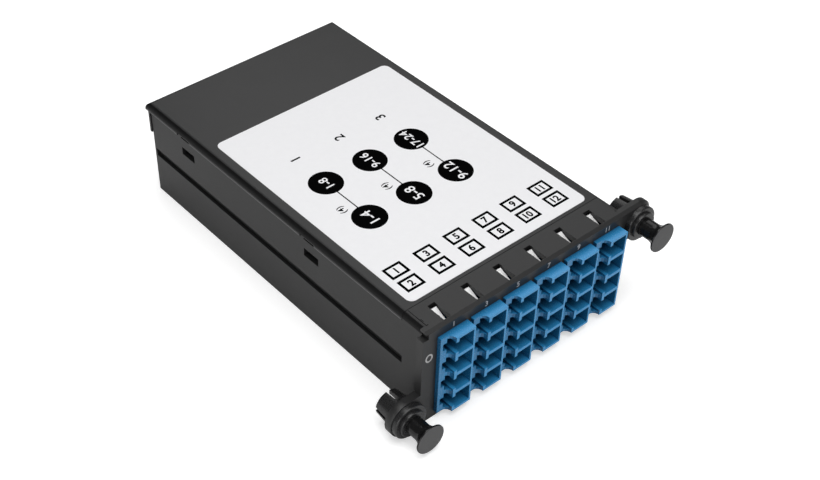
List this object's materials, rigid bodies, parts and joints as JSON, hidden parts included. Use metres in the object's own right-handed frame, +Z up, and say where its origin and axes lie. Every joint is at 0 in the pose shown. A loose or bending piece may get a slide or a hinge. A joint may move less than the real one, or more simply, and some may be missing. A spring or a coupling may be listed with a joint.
{
  "type": "fibre cassette",
  "caption": "Flat moulded cassette with stacked small plug ports in its front plate, ribbon ports in its rear, a printed label on its cover and push latches on its ears.",
  "frame": {"origin": "bottom of the front plate's front face, midway between the cassette's sides", "axes": "+X along the front plate to the right, +Y from the front plate to the rear, +Z up from the floor"},
  "size_m": [0.088, 0.1309, 0.0307],
  "materials": {
    "tray_plastic": "fine moulded grain",
    "cover_plastic": "fine moulded grain",
    "label_paper": "satin film",
    "adapter_blue": "satin",
    "clip_steel": "bright",
    "sleeve_ceramic": "ground",
    "plug_white": "satin",
    "fibre_jacket": "smooth",
    "ribbon_black": "satin",
    "ribbon_plug_green": "satin",
    "tube_plastic": "smooth",
    "fan_plastic": "satin",
    "grommet_plastic": "satin",
    "plunger_plastic": "smooth"
  },
  "bodies": {
    "cassette": {"tray": "tray_plastic", "cover": "cover_plastic", "label": "label_paper", "port_adapter_1": "adapter_blue", "adapter_clip_1": "clip_steel", "rear_plugs_1": "plug_white", "fibre_legs_1": "fibre_jacket", "port_adapter_2": "adapter_blue", "adapter_clip_2": "clip_steel", "rear_plugs_2": "plug_white", "fibre_legs_2": "fibre_jacket", "port_adapter_3": "adapter_blue", "adapter_clip_3": "clip_steel", "rear_plugs_3": "plug_white", "fibre_legs_3": "fibre_jacket", "port_adapter_4": "adapter_blue", "adapter_clip_4": "clip_steel", "rear_plugs_4": "plug_white", "fibre_legs_4": "fibre_jacket", "port_adapter_5": "adapter_blue", "adapter_clip_5": "clip_steel", "rear_plugs_5": "plug_white", "fibre_legs_5": "fibre_jacket", "port_adapter_6": "adapter_blue", "adapter_clip_6": "clip_steel", "rear_plugs_6": "plug_white", "fibre_legs_6": "fibre_jacket", "alignment_sleeves": "sleeve_ceramic", "ribbon_adapter_1": "ribbon_black", "ribbon_clip_1": "clip_steel", "ribbon_plug_1": "ribbon_plug_green", "trunk_tube_1": "tube_plastic", "fan_out_block_1": "fan_plastic", "ribbon_adapter_2": "ribbon_black", "ribbon_clip_2": "clip_steel", "ribbon_plug_2": "ribbon_plug_green", "trunk_tube_2": "tube_plastic", "fan_out_block_2": "fan_plastic", "ribbon_adapter_3": "ribbon_black", "ribbon_clip_3": "clip_steel", "ribbon_plug_3": "ribbon_plug_green", "trunk_tube_3": "tube_plastic", "fan_out_block_3": "fan_plastic", "left_grommet": "grommet_plastic", "right_grommet": "grommet_plastic"},
    "left_latch_plunger": {"left_plunger": "plunger_plastic"},
    "right_latch_plunger": {"right_plunger": "plunger_plastic"}
  },
  "joints": [
    {"name": "left_latch_slide", "type": "slide", "parent": "cassette", "child": "left_latch_plunger", "axis": [0, 1, 0], "range_m": [0, 0.0026]},
    {"name": "right_latch_slide", "type": "slide", "parent": "cassette", "child": "right_latch_plunger", "axis": [0, 1, 0], "range_m": [0, 0.0026]}
  ]
}
